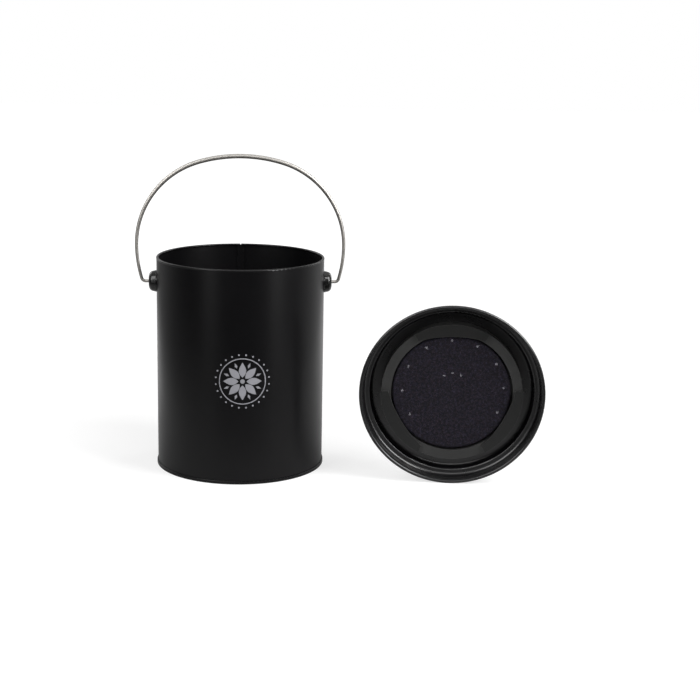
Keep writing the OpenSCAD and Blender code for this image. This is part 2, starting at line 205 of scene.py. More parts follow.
class StudioSettings(bpy.types.PropertyGroup):
    """Camera, lamps and backdrop."""

    camera_place: place_prop("Camera Place", "Where the camera stands", (0.0, -1.4733, 0.4536))
    yaw: angle_prop("Yaw", "Turn of the camera towards the lid", 4.39)
    pitch: angle_prop("Pitch", "How far the camera looks down", 12.82)
    roll: angle_prop("Roll", "Roll of the camera about its own axis", 1.07)
    lens: FloatProperty(
        name="Lens",
        description="Focal length of the camera on a 36 mm sensor, in millimetres",
        unit="CAMERA",
        default=75.24,
    )
    key: power_prop("Key Lamp", "Power of the soft box on the right", 37.0)
    fill: power_prop("Fill Lamp", "Power of the soft box on the left", 15.0)
    overhead: power_prop("Overhead Lamp", "Power of the soft box above", 4.0)
    front: power_prop("Front Lamp", "Power of the soft box over the camera", 6.0)
    back: power_prop("Back Strips", "Power of each narrow soft box behind the pail", 5.0)
    cards: power_prop("Cards", "Power that the low reflector card on the right gives back", 2.6)
    ambient: FloatProperty(
        name="Ambient",
        description="Strength of the even light that reaches matt surfaces from the room",
        min=0,
        max=2,
        default=0.15,
    )


# ---- Node groups shared by the materials ----


def new_group(name, inputs, outputs):
    """New shader node group; returns it, what it is given and where its results go.

    Inputs are defaults by name. A tuple makes a vector socket, and a number a float socket.
    """
    group = bpy.data.node_groups.new(name, "ShaderNodeTree")
    for label, default in {"Vector": (0, 0, 0), **inputs}.items():
        kind = "NodeSocketVector" if isinstance(default, tuple) else "NodeSocketFloat"
        socket = group.interface.new_socket(label, in_out="INPUT", socket_type=kind)
        socket.default_value = default
    for label in outputs:
        group.interface.new_socket(label, in_out="OUTPUT", socket_type="NodeSocketFloat")
    given, result = group.nodes.new("NodeGroupInput"), group.nodes.new("NodeGroupOutput")
    return group, given.outputs, result.inputs


def link(tree, source, target):
    """Join two sockets, or write a plain value into the target."""
    if isinstance(source, bpy.types.NodeSocket):
        tree.links.new(source, target)
    else:
        target.default_value = source


def calc(tree, operation, first, second=0.0, third=0.0):
    """Math node; returns its result."""
    node = tree.nodes.new("ShaderNodeMath")
    node.operation = operation
    for socket, value in zip(node.inputs, (first, second, third)):
        link(tree, value, socket)
    return node.outputs[0]


def calc_hypot(tree, first, second):
    """Length of the side opposite a right angle between two lengths."""
    squared = calc(tree, "MULTIPLY", second, second)
    return calc(tree, "SQRT", calc(tree, "MULTIPLY_ADD", first, first, squared))


def remap(tree, value, low, high, to_low=0.0, to_high=1.0):
    """Smooth map of a value from one range to another; returns the result."""
    node = tree.nodes.new("ShaderNodeMapRange")
    node.interpolation_type = "SMOOTHSTEP"
    for name, number in (
        ("Value", value),
        ("From Min", low),
        ("From Max", high),
        ("To Min", to_low),
        ("To Max", to_high),
    ):
        link(tree, number, node.inputs[name])
    return node.outputs["Result"]


def noise_of(tree, vector, scale, detail=2.0, roughness=0.5):
    """Noise texture; returns its value."""
    node = tree.nodes.new("ShaderNodeTexNoise")
    link(tree, vector, node.inputs["Vector"])
    link(tree, scale, node.inputs["Scale"])
    node.inputs["Detail"].default_value = detail
    node.inputs["Roughness"].default_value = roughness
    return node.outputs["Fac"]


def mix_colour(tree, factor, first, second):
    """Colour mix; returns the result."""
    node = tree.nodes.new("ShaderNodeMix")
    node.data_type = "RGBA"
    link(tree, factor, node.inputs["Factor"])
    for socket, colour in ((node.inputs["A"], first), (node.inputs["B"], second)):
        if isinstance(colour, bpy.types.NodeSocket):
            tree.links.new(colour, socket)
        else:
            socket.default_value = (*colour, 1.0)
    return node.outputs["Result"]


def vector_math(tree, operation, *values):
    """Vector math node; returns its vector, or its value for the operations that give one."""
    node = tree.nodes.new("ShaderNodeVectorMath")
    node.operation = operation
    for socket, value in zip(node.inputs, values):
        link(tree, value, socket)
    return node.outputs["Value" if operation in ("DOT_PRODUCT", "LENGTH") else "Vector"]


def split_xyz(tree, vector):
    """The X, Y and Z of a vector, by name."""
    node = tree.nodes.new("ShaderNodeSeparateXYZ")
    tree.links.new(vector, node.inputs[0])
    return node.outputs


def scaled(colour, factor):
    """A colour with each channel times a factor, at most 1."""
    return [min(1.0, factor * c) for c in colour]


def object_point(tree):
    """Texture coordinates of the piece itself, in metres."""
    return tree.nodes.new("ShaderNodeTexCoord").outputs["Object"]


def peel_group():
    """Orange peel of a cured coat, and its slow unevenness."""
    group, given, result = new_group("Coat Peel", {"Size": 0.0015}, ("Height", "Unevenness"))
    scale = calc(group, "DIVIDE", 1.0, given["Size"])
    peel = noise_of(group, given["Vector"], scale, detail=1.0)
    fine_scale = calc(group, "MULTIPLY", scale, 3.7)
    fine = noise_of(group, given["Vector"], fine_scale, detail=2.0, roughness=0.6)
    height = calc(group, "MULTIPLY_ADD", fine, 0.35, peel)
    slow_scale = calc(group, "MULTIPLY", scale, 0.03)
    slow = noise_of(group, given["Vector"], slow_scale, detail=3.0)
    group.links.new(height, result["Height"])
    group.links.new(slow, result["Unevenness"])
    return group


def edge_group():
    """Mask of the edges that hands and neighbours rub, broken up by noise; it carries both rub wear
    and a painted edge highlight.
    """
    group, given, result = new_group("Edge Rub and Sheen", {"Width": 0.0006}, ("Mask",))
    bevel = group.nodes.new("ShaderNodeBevel")
    bevel.samples = 6
    group.links.new(given["Width"], bevel.inputs["Radius"])
    geometry = group.nodes.new("ShaderNodeNewGeometry")
    normals = bevel.outputs["Normal"], geometry.outputs["Normal"]
    turn = vector_math(group, "DOT_PRODUCT", *normals)
    sharp = remap(group, turn, 0.995, 0.80)
    scuffs = noise_of(group, given["Vector"], 420.0, detail=4.0)
    broken = remap(group, scuffs, 0.30, 0.62)
    group.links.new(calc(group, "MULTIPLY", sharp, broken), result["Mask"])
    return group


def smudge_group():
    """Faint handling marks that change how a smooth surface shines."""
    group, given, result = new_group("Handling", {"Size": 0.03, "Amount": 0.05}, ("Shift",))
    scale = calc(group, "DIVIDE", 1.0, given["Size"])
    cloud = noise_of(group, given["Vector"], scale, detail=5.0, roughness=0.62)
    centred = calc(group, "SUBTRACT", cloud, 0.5)
    shift = calc(group, "MULTIPLY", centred, given["Amount"])
    group.links.new(shift, result["Shift"])
    return group


def drawn_group():
    """Fine lines left by drawing or brushing, long in X and fine in Y and Z of the vector."""
    group, given, result = new_group(
        "Drawn Lines", {"Stretch": (40.0, 2500.0, 2500.0)}, ("Height", "Tone")
    )
    stretched = vector_math(group, "MULTIPLY", given["Vector"], given["Stretch"])
    lines = noise_of(group, stretched, 1.0, detail=3.0, roughness=0.7)
    slow = noise_of(group, given["Vector"], 90.0, detail=2.0)
    tone = calc(group, "MULTIPLY_ADD", lines, 0.6, calc(group, "MULTIPLY", slow, 0.4))
    group.links.new(lines, result["Height"])
    group.links.new(tone, result["Tone"])
    return group


def cell_group():
    """Open cells of foam: walls that stand proud and pores that lie deep, which the foam's colour
    paints dark as shade.
    """
    group, given, result = new_group("Open Cells", {"Size": 0.0012}, ("Height", "Speckle"))
    scale = calc(group, "DIVIDE", 1.0, given["Size"])
    cells = group.nodes.new("ShaderNodeTexVoronoi")
    cells.feature = "DISTANCE_TO_EDGE"
    group.links.new(given["Vector"], cells.inputs["Vector"])
    group.links.new(scale, cells.inputs["Scale"])
    walls = remap(group, cells.outputs["Distance"], 0.22, 0.02)
    grit_scale = calc(group, "MULTIPLY", scale, 2.4)
    grit = noise_of(group, given["Vector"], grit_scale, detail=3.0, roughness=0.7)
    height = calc(group, "MULTIPLY_ADD", grit, 0.6, walls)
    group.links.new(height, result["Height"])
    group.links.new(calc(group, "MULTIPLY", walls, grit), result["Speckle"])
    return group


def spot_ring_group():
    """Soft round spots, evenly spaced on a circle in the XY plane of the vector."""
    group, given, result = new_group(
        "Spot Ring", {"Ring Radius": 0.05, "Spot Radius": 0.0015, "Spots": 12.0}, ("Mask",)
    )
    axes = split_xyz(group, given["Vector"])
    x, y = axes["X"], axes["Y"]
    angle = calc(group, "ARCTAN2", y, x)
    step = calc(group, "DIVIDE", math.tau, given["Spots"])
    half = calc(group, "MULTIPLY", step, 0.5)
    nearest = calc(group, "SNAP", calc(group, "ADD", angle, half), step)
    away = calc(group, "SUBTRACT", angle, nearest)
    radius = calc_hypot(group, x, y)
    outward = calc(group, "MULTIPLY", radius, calc(group, "COSINE", away))
    along = calc(group, "SUBTRACT", outward, given["Ring Radius"])
    across = calc(group, "MULTIPLY", radius, calc(group, "SINE", away))
    distance = calc_hypot(group, along, across)
    mask = remap(group, distance, given["Spot Radius"], 0.0)
    group.links.new(mask, result["Mask"])
    return group


BUILDERS = {
    "Coat Peel": peel_group,
    "Edge Rub and Sheen": edge_group,
    "Handling": smudge_group,
    "Drawn Lines": drawn_group,
    "Open Cells": cell_group,
    "Spot Ring": spot_ring_group,
}


def place_group(tree, name, **values):
    """Put a shared group into a material, built on first use; returns its outputs by name."""
    node = tree.nodes.new("ShaderNodeGroup")
    node.node_tree = bpy.data.node_groups.get(name) or BUILDERS[name]()
    for label, value in values.items():
        link(tree, value, node.inputs[label.replace("_", " ")])
    return node.outputs


# ---- Materials ----


def new_material(name, colour, roughness, metallic=0.0, specular=0.5):
    """Material with a Principled shader; returns the material, its tree and the shader."""
    material = bpy.data.materials.new(name)
    material.use_nodes = True
    shader = material.node_tree.nodes["Principled BSDF"]
    shader.inputs["Base Color"].default_value = (*colour, 1.0)
    shader.inputs["Roughness"].default_value = roughness
    shader.inputs["Metallic"].default_value = metallic
    shader.inputs["Specular IOR Level"].default_value = specular
    return material, material.node_tree, shader


def finish(tree, shader, colour, height, depth, roughness=None):
    """Link what varies over a surface: colour, relief of a depth in metres, and roughness."""
    relief = tree.nodes.new("ShaderNodeBump")
    relief.inputs["Distance"].default_value = depth
    tree.links.new(height, relief.inputs["Height"])
    tree.links.new(relief.outputs["Normal"], shader.inputs["Normal"])
    tree.links.new(colour, shader.inputs["Base Color"])
    if roughness is not None:
        tree.links.new(roughness, shader.inputs["Roughness"])


def rub_wear_and_sheen(tree, point, tone, pale, width, amount=0.5):
    """Tone that turns pale along the edges of a piece: partly rub wear, partly a painted edge
    highlight.
    """
    rub = place_group(tree, "Edge Rub and Sheen", Vector=point, Width=width)
    return mix_colour(tree, calc(tree, "MULTIPLY", rub["Mask"], amount), tone, pale)


def powder_coat(name, roughness, specular):
    """Satin black powder coat with orange peel, faint handling marks and pale edges, partly rub
    wear and partly a painted edge highlight.
    """
    coat = bpy.context.scene.pail_coat
    material, tree, shader = new_material(name, coat.colour, roughness, specular=specular)
    point = object_point(tree)
    peel = place_group(tree, "Coat Peel", Vector=point, Size=coat.peel_size)
    handling = place_group(tree, "Handling", Vector=point, Size=0.045, Amount=0.10)
    uneven = peel["Unevenness"]
    spread = 0.06
    rough = calc(tree, "ADD", handling["Shift"], roughness)
    rough = calc(tree, "MULTIPLY_ADD", uneven, spread, rough)
    rough = calc(tree, "SUBTRACT", rough, spread / 2)
    tone = mix_colour(tree, uneven, scaled(coat.colour, 0.82), scaled(coat.colour, 1.18))
    # Paler edges: partly rub wear, partly a painted edge highlight.
    varied_tone = rub_wear_and_sheen(tree, point, tone, (0.035, 0.035, 0.036), width=0.0007)
    finish(tree, shader, varied_tone, peel["Height"], coat.peel_depth, rough)
    return material


def gloss_plastic(name, colour, roughness, flow_size):
    """Glossy moulded plastic with a faint flow pattern and handling marks."""
    material, tree, shader = new_material(name, colour, roughness)
    point = object_point(tree)
    peel = place_group(tree, "Coat Peel", Vector=point, Size=flow_size)
    handling = place_group(tree, "Handling", Vector=point, Size=0.012, Amount=0.10)
    rough = calc(tree, "ADD", handling["Shift"], roughness)
    uneven = peel["Unevenness"]
    tone = mix_colour(tree, uneven, scaled(colour, 0.8), scaled(colour, 1.2))
    # Paler edges: partly rub wear, partly a painted edge highlight.
    varied_tone = rub_wear_and_sheen(tree, point, tone, (0.03, 0.03, 0.03), width=0.0005)
    finish(tree, shader, varied_tone, peel["Height"], 0.000006, rough)
    return material


def matt_moulding(name, colour, face_colour, face_place):
    """Matt moulded plastic with a spark texture, pale edges that are mostly a painted edge
    highlight and partly rub wear, and a ring face of its own colour.

    The ring's face is told from the lips, which stand nearer, by depth along the lid's axis.
    """
    roughness = 0.50
    material, tree, shader = new_material(name, colour, roughness, specular=0.5)
    point = object_point(tree)
    off_face = vector_math(tree, "SUBTRACT", point, face_place.translation)
    axis = face_place.to_3x3() @ Vector((0, 0, 1))
    lips_end, face_start = -0.0016, -0.0008
    on_face = remap(tree, vector_math(tree, "DOT_PRODUCT", off_face, axis), lips_end, face_start)
    spark = place_group(tree, "Coat Peel", Vector=point, Size=0.0007)
    handling = place_group(tree, "Handling", Vector=point, Size=0.018, Amount=0.16)
    dark, light = (
        mix_colour(tree, on_face, scaled(colour, level), scaled(face_colour, level))
        for level in (0.72, 1.28)
    )
    tone = mix_colour(tree, spark["Unevenness"], dark, light)
    # Painted highlight: the edges turn a pale grey far lighter than the moulding, mostly standing
    # in for the light along them, partly rub wear.
    varied_tone = rub_wear_and_sheen(tree, point, tone, (0.13, 0.13, 0.125), width=0.0006, amount=0.55)
    rough = calc(tree, "ADD", handling["Shift"], roughness)
    finish(tree, shader, varied_tone, spark["Height"], 0.00004, rough)
    return material


def finish_lines(tree, shader, lines, tones, depth, roughness):
    """Finish a metal whose colour, roughness and relief follow its drawn or turned lines."""
    tone = lines["Tone"]
    colour = mix_colour(tree, tone, *tones)
    rough = remap(tree, tone, 0.2, 0.8, *roughness)
    finish(tree, shader, colour, lines["Height"], depth, rough)


def drawn_wire(name, colour):
    """Nickel-plated drawn wire; its lines follow the wire through the mesh's UV map."""
    material, tree, shader = new_material(name, colour, 0.46, metallic=1.0)
    uv = tree.nodes.new("ShaderNodeUVMap")
    uv.uv_map = "Wire"
    stretch = (5.0, 420.0, 1.0)
    lines = place_group(tree, "Drawn Lines", Vector=uv.outputs["UV"], Stretch=stretch)
    tones = scaled(colour, 0.86), scaled(colour, 1.14)
    finish_lines(tree, shader, lines, tones, 0.000001, (0.42, 0.50))
    return material


def turned_metal(name, colour, roughness):
    """Small turned or pressed metal part with fine lines and darker unevenness."""
    material, tree, shader = new_material(name, colour, roughness, metallic=1.0)
    point = object_point(tree)
    lines = place_group(tree, "Drawn Lines", Vector=point, Stretch=(300.0, 2600.0, 2600.0))
    tones = scaled(colour, 0.72), colour
    finish_lines(tree, shader, lines, tones, 0.000015, (roughness * 0.8, roughness * 1.4))
    return material


def printed_ink(name, colour):
    """Screen-printed ink: even, slightly grainy and a little mottled."""
    material, tree, shader = new_material(name, colour, 0.55, specular=0.35)
    point = object_point(tree)
    peel = place_group(tree, "Coat Peel", Vector=point, Size=0.0012)
    tone = mix_colour(tree, peel["Unevenness"], scaled(colour, 0.9), colour)
    mesh_grain = noise_of(tree, point, 3200.0, detail=1.0)
    pinholes = remap(tree, mesh_grain, 0.24, 0.34, 0.82, 1.0)
    speck = mix_colour(tree, pinholes, scaled(colour, 0.45), tone)
    finish(tree, shader, speck, peel["Height"], 0.000010)
    return material


def foam_tone(tree, point, cells):
    """Colour of the foam: red and blue casts in patches, coarse grain, and pores painted dark as
    the shade deep in the cells.
    """
    foam = bpy.context.scene.pail_lid.foam

    def patches(scale, roughness, low, high):
        return remap(tree, noise_of(tree, point, scale, detail=3.0, roughness=roughness), low, high)

    reddish = (foam[0] * 1.6, foam[1] * 0.85, foam[2] * 1.0)
    bluish = (foam[0] * 0.8, foam[1] * 0.95, foam[2] * 1.7)
    warm = mix_colour(tree, patches(210.0, 0.6, 0.42, 0.60), foam, reddish)
    tint = mix_colour(tree, patches(330.0, 0.6, 0.42, 0.60), warm, bluish)
    grain = patches(420.0, 0.8, 0.40, 0.60)
    varied_tone = mix_colour(tree, grain, scaled(foam, 0.05), scaled(foam, 2.2))
    grainy = mix_colour(tree, 0.65, tint, varied_tone)
    # Painted shade: between the cell walls the foam darkens to about a fifth of its colour, for the
    # shade in the pores.
    walls = remap(tree, cells["Speckle"], 0.05, 0.50)
    return mix_colour(tree, walls, scaled(foam, 0.22), grainy)


def painted_vent_light(tree, point):
    """Mask of painted light: ragged pale specks where light from the vents behind the foam comes
    through it.

    Each ring's painted specks show only above a height, given as a share of the ring's radius;
    below it they fade out as painted shade.
    """
    lid = bpy.context.scene.pail_lid
    about_vents = tree.nodes.new("ShaderNodeMapping")
    about_vents.vector_type = "TEXTURE"
    about_vents.inputs["Location"].default_value = lid.vent_shift
    about_vents.inputs["Rotation"].default_value = (0, 0, lid.vent_turn)
    tree.links.new(point, about_vents.inputs["Vector"])
    warp = tree.nodes.new("ShaderNodeTexNoise")
    warp.inputs["Scale"].default_value = 900.0
    warp.inputs["Detail"].default_value = 2.0
    tree.links.new(point, warp.inputs["Vector"])
    reach = 0.0042
    half_reach = (reach / 2, reach / 2, 0.0)
    centred = vector_math(tree, "SUBTRACT", about_vents.outputs["Vector"], half_reach)
    ragged = vector_math(tree, "MULTIPLY_ADD", warp.outputs["Color"], (reach, reach, 0.0), centred)
    height = calc(tree, "MULTIPLY", split_xyz(tree, point)["Y"], -1.0)
    rings = []
    for radius, spot, dark_below, lit_above in (
        (lid.outer_vents, 0.0021, -0.75, -0.45),
        (lid.inner_vents, 0.0019, 0.84, 0.90),
    ):
        ring = place_group(
            tree,
            "Spot Ring",
            Vector=ragged,
            Ring_Radius=radius,
            Spot_Radius=spot,
            Spots=float(lid.vents),
        )
        # Painted shade: the specks fade out below this height, where the knob and the floor shade
        # the vents.
        shown = remap(tree, height, radius * dark_below, radius * lit_above)
        rings.append(calc(tree, "MULTIPLY", ring["Mask"], shown))
    broken = remap(tree, noise_of(tree, point, 2300.0, detail=1.0), 0.40, 0.58)
    return calc(tree, "MULTIPLY", remap(tree, calc(tree, "ADD", *rings), 0.15, 0.75), broken)


def charcoal_foam(name):
    """Black open-cell foam with a purple cast, and pale specks of painted light where the vents
    behind it let light through.
    """
    lid = bpy.context.scene.pail_lid
    material, tree, shader = new_material(name, lid.foam, 0.85, specular=0.25)
    point = object_point(tree)
    cells = place_group(tree, "Open Cells", Vector=point, Size=lid.pore_size)
    tone = foam_tone(tree, point, cells)
    # Painted light: the pale colour of the vent specks is mixed into the foam's base colour.
    speck = mix_colour(tree, painted_vent_light(tree, point), tone, (0.46, 0.45, 0.50))
    finish(tree, shader, speck, cells["Height"], 0.00045)
    return material


# ---- Meshes ----


def new_piece(name, mesh_builder, body, material, place=None):
    """Mesh object made by a bmesh function, riding on a body with its material and slot."""
    mesh = bpy.data.meshes.new(name)
    work = bmesh.new()
    mesh_builder(work)
    bmesh.ops.recalc_face_normals(work, faces=work.faces[:])
    work.to_mesh(mesh)
    work.free()
    piece = bpy.data.objects.new(name, mesh)
    bpy.context.scene.collection.objects.link(piece)
    if place is not None:
        piece.matrix_world = place
    mesh.materials.append(material)
    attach(piece, body)
    return piece


def dress(material, *nodes):
    """Give CAD nodes a material of the scene."""
    for node in nodes:
        for slot in NODES[node].material_slots:
            slot.material = material


# -- Printed mark --


class WallSheet:
    """Draws closed slabs of ink that follow the round wall, from points on the unrolled wall."""

    def __init__(self, work, centre_x, centre_z, sink, stand):
        self.work = work
        self.centre_x = centre_x
        self.centre_z = centre_z
        self.inner = WALL_RADIUS - sink
        self.outer = WALL_RADIUS + stand

    def vertex(self, point, radius):
        angle = (self.centre_x + point[0]) / WALL_RADIUS
        height = self.centre_z + point[1]
        return self.work.verts.new((radius * math.sin(angle), -radius * math.cos(angle), height))

    def grid(self, rows, closed=False):
        """Slab over rows of points; closed joins the last row to the first."""
        front = [[self.vertex(p, self.outer) for p in row] for row in rows]
        back = [[self.vertex(p, self.inner) for p in row] for row in rows]
        count = len(rows)
        width = len(rows[0])
        for i in range(count if closed else count - 1):
            j = (i + 1) % count
            for k in range(width - 1):
                self.work.faces.new((front[i][k], front[i][k + 1], front[j][k + 1], front[j][k]))
                self.work.faces.new((back[i][k], back[j][k], back[j][k + 1], back[i][k + 1]))
            self.work.faces.new((front[i][0], front[j][0], back[j][0], back[i][0]))
            self.work.faces.new((front[i][-1], back[i][-1], back[j][-1], front[j][-1]))
        if not closed:
            for i, flip in ((0, False), (count - 1, True)):
                for k in range(width - 1):
                    side = [front[i][k], back[i][k], back[i][k + 1], front[i][k + 1]]
                    self.work.faces.new(side[::-1] if flip else side)

    def disc(self, outline):
        """Slab over a small convex outline, fanned from its middle."""
        middle = [sum(p[axis] for p in outline) / len(outline) for axis in (0, 1)]
        front = [self.vertex(p, self.outer) for p in outline]
        back = [self.vertex(p, self.inner) for p in outline]
        top, bottom = self.vertex(middle, self.outer), self.vertex(middle, self.inner)
        for i in range(len(outline)):
            j = (i + 1) % len(outline)
            self.work.faces.new((top, front[i], front[j]))
            self.work.faces.new((bottom, back[j], back[i]))
            self.work.faces.new((front[i], back[i], back[j], front[j]))


def turned(point, angle):
    """A flat point turned about the origin."""
    c, s = math.cos(angle), math.sin(angle)
    return (c * point[0] - s * point[1], s * point[0] + c * point[1])


def petal_rows(angle, start, length, half_width):
    """Rows of points across a pointed petal that runs outward at an angle."""
    stations = 18
    across = 6
    least = 0.00006
    rows = []
    for i in range(stations + 1):
        share = i / stations
        half = max(least, half_width * math.sin(math.pi * share ** 0.85))
        rows.append([
            turned((start + length * share, half * (2 * k / across - 1)), angle)
            for k in range(across + 1)
        ])
    return rows


def circle_points(centre, radius, count):
    """Points round a flat circle."""
    angles = [math.tau * i / count for i in range(count)]
    return [
        (centre[0] + radius * math.cos(a), centre[1] + radius * math.sin(a)) for a in angles
    ]


def build_mark(work):
    """Round mark: centre dot, petals, lozenges between them, a thin ring and a circle of dots."""
    mark = bpy.context.scene.pail_print
    sheet = WallSheet(work, mark.centre_x, mark.centre_z, sink=0.00012, stand=0.00006)
    reach = mark.outer_radius
    sheet.disc(circle_points((0, 0), 0.085 * reach, 28))
    for i in range(mark.petals):
        angle = math.pi / 2 + math.tau * i / mark.petals
        sheet.grid(petal_rows(angle, 0.15 * reach, 0.56 * reach, 0.135 * reach))
        between = angle + math.pi / mark.petals
        lozenge = ((0.53, 0), (0.62, 0.05), (0.75, 0), (0.62, -0.05))
        sheet.disc([turned((x * reach, y * reach), between) for x, y in lozenge])
    steps = 144
    rim_in, rim_out = 0.835 * reach, 0.872 * reach
    rows = [
        [turned((r, 0), math.tau * i / steps) for r in (rim_in, rim_out)] for i in range(steps)
    ]
    sheet.grid(rows, closed=True)
    for i in range(mark.dots):
        centre = turned((reach, 0), math.tau * (i + 0.5) / mark.dots)
        sheet.disc(circle_points(centre, 0.034 * reach, 18))


# -- Bail --


def arc(centre, radius, start, end, steps):
    """Stations along an arc in the XZ plane as (x, z, heading of the outward normal)."""
    headings = [start + (end - start) * i / steps for i in range(steps + 1)]
    return [
        (centre[0] + radius * math.cos(a), centre[1] + radius * math.sin(a), a) for a in headings
    ]


def bail_stations():
    """Right half of the bail from the inner end of its head to the top of its crown, with radii.

    Each station is (x, height above the pins, normal heading, radius).
    """
    bail = bpy.context.scene.pail_bail
    pin = bail.pin_wire / 2
    crown = bail.crown_wire / 2
    rise = BAIL_TOP - PIN_HEIGHT - crown

    def wire(height):
        return pin + (crown - pin) * (1 - math.cos(math.pi * height / rise)) / 2

    waist_x = BAIL_HALF_WIDTH - wire(bail.waist_height)
    crown_centre = rise - bail.crown_radius
    drop = bail.waist_height - crown_centre
    shoulder = bail.crown_radius**2 - waist_x**2 - drop**2
    shoulder /= 2 * (bail.crown_radius - waist_x)
    shoulder_x = waist_x - shoulder
    shoulder_angle = math.atan2(drop, shoulder_x)
    inner_leg = bail.leg_radius - bail.bend_radius
    leg_angle = math.asin((bail.waist_height - bail.bend_radius) / inner_leg)
    bend_x = waist_x - bail.leg_radius + inner_leg * math.cos(leg_angle)

    ear_face_t = 0.0022  # thickness of the ear's face, which the head lies behind
    play = 0.0003  # between the head and the ear's face
    head_t = 0.0016
    ease = 0.0003  # radius that rounds the head's edges
    head_x = EAR_FACE - ear_face_t - play
    down = -math.pi / 2
    head = bail.head / 2
    corner = 0.3 * ease
    end_x = head_x - head_t
    lathe = [
        (end_x, 0.55 * head),
        (end_x, head - ease),
        (end_x + corner, head - corner),
        (end_x + ease, head),
        (head_x - ease, head),
        (head_x - corner, head - corner),
        (head_x, head - ease),
        (head_x, pin + ease),
        (head_x + corner, pin + corner),
        (head_x + ease, pin),
        ((head_x + bend_x) / 2, pin),
    ]
    stations = [(x, 0.0, down, r) for x, r in lathe]
    leg_centre = (waist_x - bail.leg_radius, bail.waist_height)
    line = (
        arc((bend_x, bail.bend_radius), bail.bend_radius, down, -leg_angle, 14)
        + arc(leg_centre, bail.leg_radius, -leg_angle, 0, 40)[1:]
        + arc((shoulder_x, bail.waist_height), shoulder, 0, shoulder_angle, 120)[1:]
        + arc((0, crown_centre), bail.crown_radius, shoulder_angle, math.pi / 2, 90)[1:]
    )
    stations += [(x, z, a, wire(z)) for x, z, a in line]
    return stations


def build_bail(work):
    """One swept wire with a head at each end; its UV map runs along the wire."""
    sides = 36
    right = bail_stations()
    left = [(-x, z, math.pi - a, r) for x, z, a, r in reversed(right[:-1])]
    stations = right + left
    rings = []
    for x, z, heading, radius in stations:
        ring = []
        for k in range(sides):
            turn = math.tau * k / sides
            out = radius * math.cos(turn)
            place = (
                x + out * math.cos(heading),
                radius * math.sin(turn),
                PIN_HEIGHT + z + out * math.sin(heading),
            )
            ring.append(work.verts.new(place))
        rings.append(ring)
    lengths = [0.0]
    for first, second in zip(stations, stations[1:]):
        lengths.append(lengths[-1] + math.dist(first[:2], second[:2]))
    layer = work.loops.layers.uv.new("Wire")
    girth = math.pi * bpy.context.scene.pail_bail.crown_wire
    for i in range(len(rings) - 1):
        for k in range(sides):
            m = (k + 1) % sides
            face = work.faces.new((rings[i][k], rings[i][m], rings[i + 1][m], rings[i + 1][k]))
            face.smooth = True
            places = ((i, k), (i, k + 1), (i + 1, k + 1), (i + 1, k))
            for loop, (along, around) in zip(face.loops, places):
                loop[layer].uv = (lengths[along], girth * around / sides)
    work.faces.new(rings[0][::-1])
    work.faces.new(rings[-1])


# -- Foam filter --


def lid_turning():
    """Rotation from the lid's own frame, whose +Z is the knob's side, to the model's frame."""
    lid = bpy.context.scene.pail_lid
    return Matrix.Rotation(-lid.turn, 4, "Z") @ Matrix.Rotation(lid.lean - math.pi / 2, 4, "X")


def local_corners(node, turning):
    """Lowest and highest corner of a CAD node, measured along the lid's own axes."""
    back = turning.to_3x3().transposed()
    points = [back @ v.co for v in NODES[node].data.vertices]
    low = Vector(min(p[i] for p in points) for i in range(3))
    high = Vector(max(p[i] for p in points) for i in range(3))
    return low, high


def lid_place():
    """Matrix of the lid's own frame, with its origin on the lid's axis at the foam's front."""
    turning = lid_turning()
    washer_low, washer_high = local_corners("knob_washer", turning)
    foam_low, _ = local_corners("charcoal_filter", turning)
    axis = (washer_low + washer_high) / 2
    origin = Vector((axis.x, axis.y, foam_low.z))
    return Matrix.Translation(turning.to_3x3() @ origin) @ turning


def foam_profile(radius, thickness, ease):
    """Outline of the pad from the middle of its front, round its edge, to its back's middle."""
    rings = 46
    steps = 7
    front = [(radius - ease) * i / rings for i in range(1, rings + 1)]
    outline = [(r, 0.0) for r in front]
    for i in range(1, steps + 1):
        a = math.pi / 2 * i / steps
        outline.append((radius - ease + ease * math.sin(a), ease - ease * math.cos(a)))
    outline.append((radius, thickness / 2))
    for i in range(steps + 1):
        a = math.pi / 2 * i / steps
        across = radius - ease + ease * math.cos(a)
        outline.append((across, thickness - ease + ease * math.sin(a)))
    outline += [(r, thickness) for r in front[-4::-6]]  # the hidden back needs fewer rings
    return outline


def foam_relief(point, pore):
    """How far the foam's surface lies below its mean at a point: soft dents and open cells."""
    dent_depth, dents = 0.00016, noise.noise(point * 55.0)
    cell_depth, cells = 0.00013, noise.noise(point / (1.6 * pore))
    return dent_depth * dents + cell_depth * cells


def build_foam(work):
    """Round pad of open-cell foam, its skin broken up cell by cell."""
    lid = bpy.context.scene.pail_lid
    turning = lid_turning()
    low, high = local_corners("charcoal_filter", turning)
    place = lid_place()
    centre = place.inverted() @ (turning.to_3x3() @ ((low + high) / 2))
    margin = 0.0003  # room for the relief inside the CAD's disc
    radius = (high.x - low.x) / 2 - margin
    thickness = high.z - low.z - 2 * margin
    segments = 220
    rings = []
    for r, z in foam_profile(radius, thickness, lid.edge_round):
        ring = []
        for k in range(segments):
            a = math.tau * k / segments
            point = Vector((centre.x + r * math.cos(a), centre.y + r * math.sin(a), margin + z))
            inward = Vector((centre.x - point.x, centre.y - point.y, 0)) / radius * 0.6
            inward.z = (thickness / 2 + margin - point.z) / thickness
            point += inward.normalized() * foam_relief(point, lid.pore_size)
            ring.append(work.verts.new(point))
        rings.append(ring)
    front = work.verts.new((centre.x, centre.y, margin))
    back = work.verts.new((centre.x, centre.y, margin + thickness))
    for k in range(segments):
        m = (k + 1) % segments
        work.faces.new((front, rings[0][m], rings[0][k]))
        work.faces.new((back, rings[-1][k], rings[-1][m]))
        for inner, outer in zip(rings, rings[1:]):
            work.faces.new((inner[k], inner[m], outer[m], outer[k]))
    for face in work.faces:
        face.smooth = True


# ---- Studio ----


